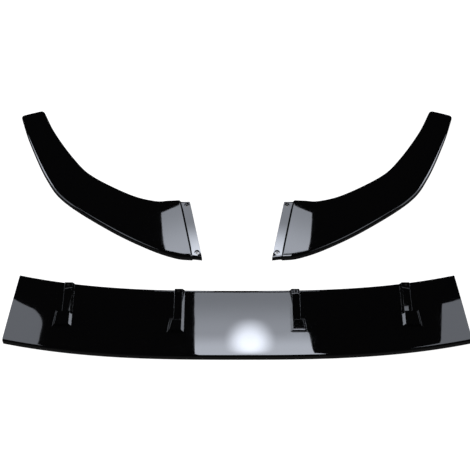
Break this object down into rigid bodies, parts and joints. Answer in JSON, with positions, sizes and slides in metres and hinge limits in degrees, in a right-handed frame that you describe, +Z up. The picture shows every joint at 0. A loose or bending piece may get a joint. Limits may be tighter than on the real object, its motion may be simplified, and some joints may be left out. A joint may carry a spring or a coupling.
{
  "type": "front splitter lip",
  "caption": "Front splitter lip in gloss black plastic: a bowed centre section with fixing brackets, and a curved corner section with a stepped, drilled flange for each side.",
  "frame": {"origin": "centre of the floor area that the three pieces cover, at the height of the rims they stand on", "axes": "+X across the car, +Y towards the rear of the car, +Z up"},
  "size_m": [1.1484, 0.7182, 0.029],
  "materials": {
    "gloss_black_plastic": "high gloss"
  },
  "bodies": {
    "root": {"centre_section": "gloss_black_plastic", "left_corner": "gloss_black_plastic", "right_corner": "gloss_black_plastic"}
  },
  "joints": []
}
